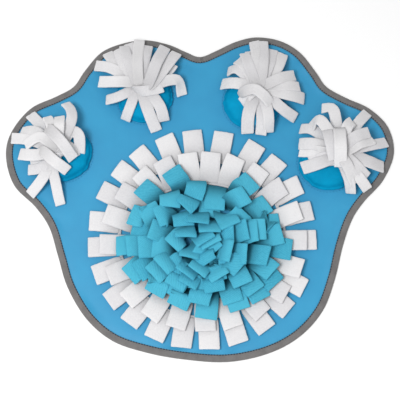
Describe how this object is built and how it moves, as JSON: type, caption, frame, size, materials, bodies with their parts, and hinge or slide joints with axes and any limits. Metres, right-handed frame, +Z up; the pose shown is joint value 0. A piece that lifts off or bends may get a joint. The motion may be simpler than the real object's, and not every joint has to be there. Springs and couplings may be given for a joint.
{
  "type": "snuffle mat",
  "caption": "Flat paw-shaped cloth mat with a bound edge, an oval of nested fleece flaps on its pad and a puffed pouch topped by a bunch of fleece strips on each toe, for hiding treats in",
  "frame": {"origin": "the middle of the mat's underside, on the surface it lies on", "axes": "X across the paw, Y towards the toes, Z up from the surface"},
  "size_m": [0.606, 0.52, 0.0617],
  "materials": {
    "mat": "plain blue polyester cloth over thin wadding",
    "binding": "grey ribbed binding tape",
    "white": "white polar fleece",
    "teal": "blue-green polar fleece",
    "pouch": "turquoise polyester cloth"
  },
  "bodies": {
    "root": {"mat": "mat", "binding": "binding", "white_row_1": "white", "white_row_2": "white", "teal_row_1": "teal", "teal_row_2": "teal", "teal_row_3": "teal", "teal_row_4": "teal", "teal_row_5": "teal", "teal_row_6": "teal", "teal_row_7": "teal", "pouch_1": "pouch", "pouch_2": "pouch", "pouch_3": "pouch", "pouch_4": "pouch", "pompom_1": "white", "pompom_2": "white", "pompom_3": "white", "pompom_4": "white"}
  },
  "joints": []
}
